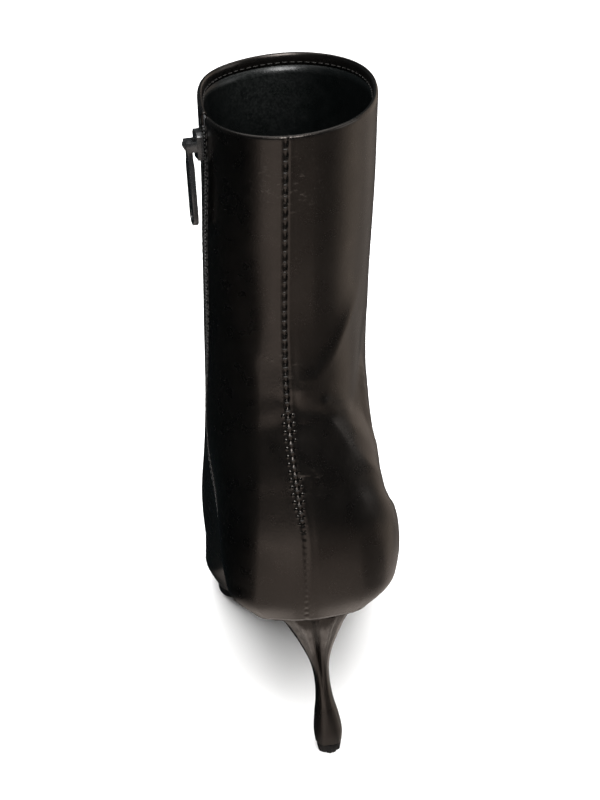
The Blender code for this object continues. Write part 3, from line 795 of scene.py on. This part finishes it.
def makeHeel():
    base = heel["tipHeight"] + last["gap"]
    rings = []
    for share in 1 - (1 - np.linspace(0, 1, heel["rings"])) ** heel["ringPower"]:
        plan, around = heelRing(share)
        plan = grow(plan, heelRelief(share, around)[:, None])
        height = base + share * (soleBottom(plan[:, 1]) - heel["seatGap"] - base)
        height = height + heelRagged(around) * heel["wrapEdge"] * (1 - share) ** heel["wrapFade"]
        rings.append(lifted(plan, height))
    edge = rings[-1][:, :2]
    for inside in heel["seatRings"]:
        plan = edge.mean(0) + (edge - edge.mean(0)) * inside
        rings.append(lifted(plan, soleBottom(plan[:, 1]) - heel["seatGap"]))
    return addPiece("heel_wrap", *closedLoft(rings), patent, heel["sharp"])


def makeHeelTip():
    plan, around = heelRing(0.0)
    rough = heel["burr"] * heelRagged(around)
    rings = []
    for height, inset, ragged in heel["tipRings"]:
        ring = grow(plan, (ragged * rough - inset)[:, None])
        rings.append(lifted(ring, np.full(len(ring), height)))
    return addPiece("heel_tip_worn", *closedLoft(rings), rubber, heel["tipSharp"])


carry(makeHeel(), "boot", "patent", "heel")
carry(makeHeelTip(), "boot", "rubber", "heel_tip")
print("heel made")


# Rows that repeat: points with a direction along the row and one out of the surface
def rowPoints(name, spots, along, out):
    mesh = bpy.data.meshes.new(name)
    mesh.from_pydata(toWorld(spots).tolist(), [], [])
    for label, vectors in (("rowAlong", along), ("rowOut", out)):
        values = mesh.attributes.new(label, "FLOAT_VECTOR", "POINT").data
        values.foreach_set("vector", np.asarray(vectors, np.float32).ravel())
    return addObject(name, mesh)


def rowTree(name, sizes, shape):
    # one small shape on every point, turned to the row and finished
    tree = bpy.data.node_groups.new(name, "GeometryNodeTree")
    sockets = {"Points": "Geometry", **dict.fromkeys(sizes, "Float"), "Finish": "Material"}
    for label, kind in sockets.items():
        tree.interface.new_socket(label, in_out="INPUT", socket_type="NodeSocket" + kind)
    tree.interface.new_socket("Pieces", in_out="OUTPUT", socket_type="NodeSocketGeometry")
    given, result = tree.nodes.new("NodeGroupInput"), tree.nodes.new("NodeGroupOutput")

    def node(kind, inputs, **options):
        return addNode(tree, kind, inputs, **options).outputs[0]

    out, along = (node("GeometryNodeInputNamedAttribute", {"Name": label}, data_type="FLOAT_VECTOR")
                  for label in ("rowOut", "rowAlong"))
    facing = node("FunctionNodeAlignRotationToVector", {"Vector": out}, axis="Z")
    turned = node("FunctionNodeAlignRotationToVector", {
        "Rotation": facing, "Vector": along}, axis="Y", pivot_axis="Z")
    placed = node("GeometryNodeInstanceOnPoints", {
        "Points": given.outputs["Points"], "Instance": shape(node, given), "Rotation": turned})
    real = node("GeometryNodeRealizeInstances", {"Geometry": placed})
    rounded = node("GeometryNodeSetShadeSmooth", {0: real})
    finished = node("GeometryNodeSetMaterial", {
        "Geometry": rounded, "Material": given.outputs["Finish"]})
    tree.links.new(finished, result.inputs["Pieces"])
    return tree


def stitchShape(node, given):
    # a short thread that dives into the leather at both ends
    length, thick = given.outputs["Length"], given.outputs["Thickness"]

    def times(value, share):
        return node("ShaderNodeMath", {0: value, 1: share}, operation="MULTIPLY")

    def spot(share, lift):
        return node("ShaderNodeCombineXYZ", {"Y": times(length, share), "Z": times(thick, lift)})

    arc = node("GeometryNodeCurvePrimitiveBezierSegment", {
        "Resolution": 5, "Start": spot(-0.5, -0.7), "Start Handle": spot(-0.36, 0.5),
        "End Handle": spot(0.36, 0.5), "End": spot(0.5, -0.7)})
    ring = node("GeometryNodeCurvePrimitiveCircle", {"Resolution": 7, "Radius": times(thick, 0.5)})
    return node("GeometryNodeCurveToMesh", {
        "Curve": arc, "Profile Curve": ring, "Fill Caps": True})


blockSizes = ("Width", "Length", "Height")


def blockSize(node, given):
    sizes = {axis: given.outputs[label] for axis, label in zip("XYZ", blockSizes)}
    return node("ShaderNodeCombineXYZ", sizes)


def toothShape(node, given):
    # a rounded tooth of the coil
    block = node("GeometryNodeMeshCube", {"Size": blockSize(node, given)})
    return node("GeometryNodeSubdivisionSurface", {"Mesh": block, "Level": 2})


def puckerShape(node, given):
    # a small swelling of the leather, sunk to its middle
    ball = node("GeometryNodeMeshIcoSphere", {"Radius": 0.5, "Subdivisions": 2})
    return node("GeometryNodeTransform", {
        "Geometry": ball, "Scale": blockSize(node, given)})


stitchTree = rowTree("stitchRow", ("Length", "Thickness"), stitchShape)
puckerTree = rowTree("puckerRow", blockSizes, puckerShape)
toothTree = rowTree("toothRow", blockSizes, toothShape)


def growRow(name, tree, sizes, finish, spots, along, out):
    piece = rowPoints(name, spots, along, out)
    step = piece.modifiers.new("row", "NODES")
    step.node_group = tree
    for item in tree.interface.items_tree:
        if item.in_out == "INPUT" and item.name in sizes:
            step[item.identifier] = float(sizes[item.name] * mm)
        elif item.in_out == "INPUT" and item.name == "Finish":
            step[item.identifier] = finish
    return applied(piece)


def pathFrames(level, angle, lift):
    # places beside a path on the wall, with its direction and the way out
    spine, out = wallAt(level, angle)
    lift = np.broadcast_to(np.asarray(lift, float), level.shape)
    return spine + lift[..., None] * out, unit(np.gradient(spine, axis=0)), out


def pairFrames(levels, start, middle, away, lift):
    # the same for two rows, one on each side of a line up the wall
    rows = []
    for side, level in zip((-1, 1), levels):
        angle = walk(level, start, middle + side * away)
        rows.append(pathFrames(level, angle, lift))
    return (np.concatenate(part) for part in zip(*rows))


seamThread = {"Length": 1.7, "Thickness": 0.55, "lift": -0.16}


def seamMarks(low, high, offset):
    # levels of the stitches, whose holes are at whole counts
    fine = np.linspace(low, high, 4000)
    count = seamCount(fine)
    return np.interp(np.arange(math.ceil(count[0]) + offset, count[-1], 1.0), count, fine)


def makeSeamStitches():
    level = seamMarks(seam["stitchLow"], seam["stitchHigh"], 0.5)
    angle = walk(level, 0.0, seam["middle"])
    spots, up, out = pathFrames(level, angle, seamThread["lift"])
    return growRow("back_seam_stitches", stitchTree, seamThread, thread, spots, np.cross(up, out), out)


puckers = {
    "Width": 1.85, "Length": 1.95, "Height": 1.05, "away": 1.68, "lift": -0.06, "low": 0.195, "high": 0.445,
    "taper": 0.40, "narrow": 0.62, "sink": 0.36,  # they close in and sink over the lowest part
}


def makePuckers():
    level = seamMarks(puckers["low"], puckers["high"], 0)
    full = ramp(0, puckers["taper"], (level - puckers["low"]) / (puckers["high"] - puckers["low"]))
    away = puckers["away"] * (puckers["narrow"] + (1 - puckers["narrow"]) * full)
    lift = puckers["lift"] - puckers["sink"] * (1 - full)
    rows = pairFrames((level, level), 0.0, seam["middle"], away, lift)
    return growRow("back_seam_puckers", puckerTree, puckers, polished, *rows)


collarRow = {"Length": 2.1, "Thickness": 0.38, "pitch": 3.0, "level": 0.9885, "depth": -2.02,
             "zipClear": 0.12}


def makeCollarStitches():
    fine = np.linspace(0, turn, 3000)
    length = runLength(upperSurface(collarRow["level"], fine))
    angle = np.interp(np.arange(0, length[-1] - 1, collarRow["pitch"]), length, fine)
    angle = angle[np.abs(angle - zipLine["angle"]) > collarRow["zipClear"]]
    level = np.full(len(angle), collarRow["level"])
    spots, _, out = pathFrames(level, angle, collarRow["depth"])
    along = unit(slopes(level, angle)[1])
    return growRow("collar_stitches", stitchTree, collarRow, thread, spots, along, -out)


def zipLevels(low, high, pitch):
    # levels from the one to the other, evenly spaced in millimetres along the zip
    fine = np.linspace(low, high, 1500)
    height = runLength(upperSurface(fine, zipLine["angle"]))
    return np.interp(np.arange(pitch / 2, height[-1], pitch), height, fine)


zipThread = {"Length": 2.2, "Thickness": 0.45, "pitch": 2.9, "away": 4.15, "lift": -0.10, "below": 0.01}


def makeZipStitches():
    level = zipLevels(zipLine["firstLevel"] - zipThread["below"], zipLine["lastLevel"], zipThread["pitch"])
    rows = pairFrames((level, level), zipLine["angle"], 0.0, zipThread["away"], zipThread["lift"])
    return growRow("zip_stitches", stitchTree, zipThread, thread, *rows)


teeth = {"Width": 1.75, "Length": 0.86, "Height": 1.2, "pitch": 1.3, "away": 0.55, "lift": -0.22,
         "inset": 0.004, "rise": 182.0}  # levels left free at the ends, and mm in a level
tapeSizes = {"rows": 150, "columns": 9, "inset": 0.003, "top": 0.997, "reach": 3.7, "front": -0.85,
             "back": -1.15, "sharp": 50}


def makeTeethRow():
    low, high = zipLine["firstLevel"] + teeth["inset"], zipLine["lastLevel"] - teeth["inset"]
    offset = 0.5 * teeth["pitch"] / teeth["rise"]  # the second row bites between the first
    levels = [zipLevels(start, high, teeth["pitch"]) for start in (low, low + offset)]
    rows = pairFrames(levels, zipLine["angle"], 0.0, teeth["away"], teeth["lift"])
    return growRow("zip_teeth", toothTree, teeth, teethFinish, *rows)


def makeTapeStrip():
    levels = np.linspace(zipLine["firstLevel"] + tapeSizes["inset"], tapeSizes["top"], tapeSizes["rows"])
    across = np.linspace(-tapeSizes["reach"], tapeSizes["reach"], tapeSizes["columns"])
    level, angle = wallGrid(levels, [(zipLine["angle"], distance) for distance in across])
    surface, out = wallAt(level, angle)
    front, back = (surface + tapeSizes[skin] * out for skin in ("front", "back"))
    return addPiece("zip_tape", *thicken(front, back, sheetFaces(*level.shape)), tape, tapeSizes["sharp"])


carry(makeSeamStitches(), "boot", "leather")
carry(makePuckers(), "boot", "leather")
carry(makeCollarStitches(), "boot", "leather")
carry(makeZipStitches(), "boot", "zip")
carry(makeTeethRow(), "boot", "zip", "zip")
carry(makeTapeStrip(), "boot", "zip", "zip")
print("stitches and zip made")

# Slider and pull tab: the solids with their edges rounded
fittings = {
    "zip_slider": {"name": "zip_slider_cast", "body": "boot", "edge": 0.28},
    "zip_pull_tab": {"name": "zip_pull_tab_cast", "body": "pull_tab", "edge": 0.30},
}
flat = math.radians(1.5)  # faces that turn less than this are one face


def makeFitting(node, sizes):
    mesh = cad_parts[node].data.copy()
    shape = bmesh.new()
    shape.from_mesh(mesh)
    bmesh.ops.remove_doubles(shape, verts=shape.verts, dist=1e-6)
    bmesh.ops.dissolve_limit(shape, angle_limit=flat, verts=shape.verts, edges=shape.edges)
    shape.to_mesh(mesh)
    shape.free()
    mesh.materials.clear()
    mesh.materials.append(enamel)
    return softenEdges(addObject(sizes["name"], mesh), sizes["edge"])


for node, sizes in fittings.items():
    carry(makeFitting(node, sizes), sizes["body"], "enamel", node)
print("slider and tab made")

# Floor, soft light and the camera behind and above the boot
stage = {
    "floorSize": 5.0, "floor": (0.86, 0.855, 0.85), "backdrop": (1.0, 1.0, 1.0),
    "rise": (-0.26, -0.10),  # the pale ground fades to the dim room between these heights
    "ground": (0.29, 0.255, 0.23), "room": (0.034, 0.040, 0.042),
    "near": (0.86, 0.75, 0.68), "nearEdge": (-0.62, -0.43),  # the ground close to the boot is the palest
    "patches": (  # direction, where it starts and is full, colour
        ((-0.31, -0.95, 0.0), (0.79, 0.90), (1.28, 1.14, 1.05)),
        ((-0.80, 0.60, 0.0), (0.10, 0.45), (0.008, 0.011, 0.012)),
        ((0.80, -0.20, -0.55), (0.86, 0.98), (0.20, 0.178, 0.160)),
        ((0.88, 0.30, -0.36), (0.95, 0.988), (0.74, 0.63, 0.53)),
        ((0.0, 0.0, -1.0), (0.62, 0.80), (0.68, 0.60, 0.54)),
        ((0.0, 0.0, -1.0), (0.82, 0.96), (2.2, 2.0, 1.85)),
    ),
    "sides": (  # the same for what is seen above the ground, in the fold beside the ankle
        ((0.70, 0.70, 0.10), (0.84, 0.96), (0.64, 0.54, 0.46)),
        ((0.96, -0.03, -0.30), (0.980, 0.996), (0.50, 0.43, 0.37)),
    ),
}
lights = {
    "columns": ("at", "aim", "size", "watts", "mirrored"),
    "fill": ((0.0, 0.3, 3.0), (0.0, 0.3, 0.0), (8.0, 8.0), 500.0, False),
    "overhead": ((0.15, 0.30, 1.9), (0.0, 0.0, 0.0), (2.2, 2.2), 20.0, True),
    "rightSide": ((1.35, -0.10, 0.60), (0.0, -0.05, 0.12), (0.8, 0.9), 3.0, True),
    "glint": ((0.10, -1.10, 1.45), (0.0, -0.05, 0.15), (0.9, 0.9), 35.0, True),
}
view = {"pitch": 24.0, "azimuth": -1.5, "roll": 3.6, "distance": 800.0, "target": (0.0, 50.0, 127.0),
        "lift": 4.5, "focal": 1788.2, "zoom": 1.2, "sensor": 36.0, "imageHeight": 800}


def makeFloor():
    mesh = bpy.data.meshes.new("floor")
    half = stage["floorSize"] / 2
    corners = [(-half, -half, 0), (half, -half, 0), (half, half, 0), (-half, half, 0)]
    mesh.from_pydata(corners, [], [(0, 1, 2, 3)])
    look = Finish("paleFloor", {"Base Color": (*stage["floor"], 1.0), "Roughness": 0.75,
                                "Specular IOR Level": 0.2})
    mesh.materials.append(look.material)
    floor = addObject("floor", mesh)
    floor.visible_glossy = False


def makeWorld():
    world = bpy.data.worlds.new("studio")
    world.use_nodes = True
    sky = Shading(world.node_tree)
    direction = sky.node("TexCoord", {}, output="Generated")
    height = sky.node("SeparateXYZ", {0: direction}, output="Z")

    def fade(value, low, high):
        inputs = {"Value": value, "From Min": low, "From Max": high}
        return sky.node("MapRange", inputs, interpolation_type="SMOOTHSTEP")

    def patched(around, patches):
        for toward, edge, colour in patches:
            ends = {0: direction, 1: Vector(toward).normalized()}
            facing = sky.node("VectorMath", ends, output="Value", operation="DOT_PRODUCT")
            around = sky.mix(fade(facing, *edge), around, colour)
        return around

    ground = sky.mix(fade(height, *stage["nearEdge"]), stage["near"], stage["ground"])
    around = sky.mix(fade(height, *stage["rise"]), patched(ground, stage["patches"]), stage["room"])
    around = patched(around, stage["sides"])
    seen = sky.node("LightPath", {}, output="Is Camera Ray")
    paint = sky.mix(seen, around, stage["backdrop"])
    sky.tree.links.new(paint, sky.tree.nodes["Background"].inputs["Color"])
    bpy.context.scene.world = world


def makeLights():
    columns, *names = lights
    for name in names:
        plan = dict(zip(lights[columns], lights[name]))
        lamp = bpy.data.lights.new(name, "AREA")
        lamp.shape = "RECTANGLE"
        lamp.size, lamp.size_y = plan["size"]
        lamp.energy = plan["watts"]
        holder = addObject(name, lamp)
        holder.location = plan["at"]
        ahead = Vector(plan["aim"]) - Vector(plan["at"])
        holder.rotation_euler = ahead.to_track_quat("-Z", "Y").to_euler()
        holder.visible_camera = False
        holder.visible_glossy = plan["mirrored"]


def makeCamera():
    pitch, azimuth, roll = (math.radians(view[key]) for key in ("pitch", "azimuth", "roll"))
    level = Vector((math.cos(azimuth), math.sin(azimuth), 0))
    forward = Vector((-math.sin(azimuth), math.cos(azimuth), 0))
    ahead = forward * math.cos(pitch) - Vector((0, 0, 1)) * math.sin(pitch)
    above = level.cross(ahead)
    right = level * math.cos(roll) - above * math.sin(roll)
    up = level * math.sin(roll) + above * math.cos(roll)
    lens = bpy.data.cameras.new("camera")
    lens.sensor_width = view["sensor"]
    lens.lens = view["focal"] * view["zoom"] / view["imageHeight"] * view["sensor"]
    camera = addObject("camera", lens)
    eye = Vector(toWorld(view["target"])) + up * (view["lift"] * mm) - ahead * (view["distance"] * mm)
    turned = Matrix((right, up, -ahead)).transposed().to_4x4()
    camera.matrix_world = Matrix.Translation(eye) @ turned
    bpy.context.scene.camera = camera


makeFloor()
makeWorld()
makeLights()
makeCamera()
bpy.context.scene.view_settings.view_transform = "Standard"
print("stage, lights and camera made")
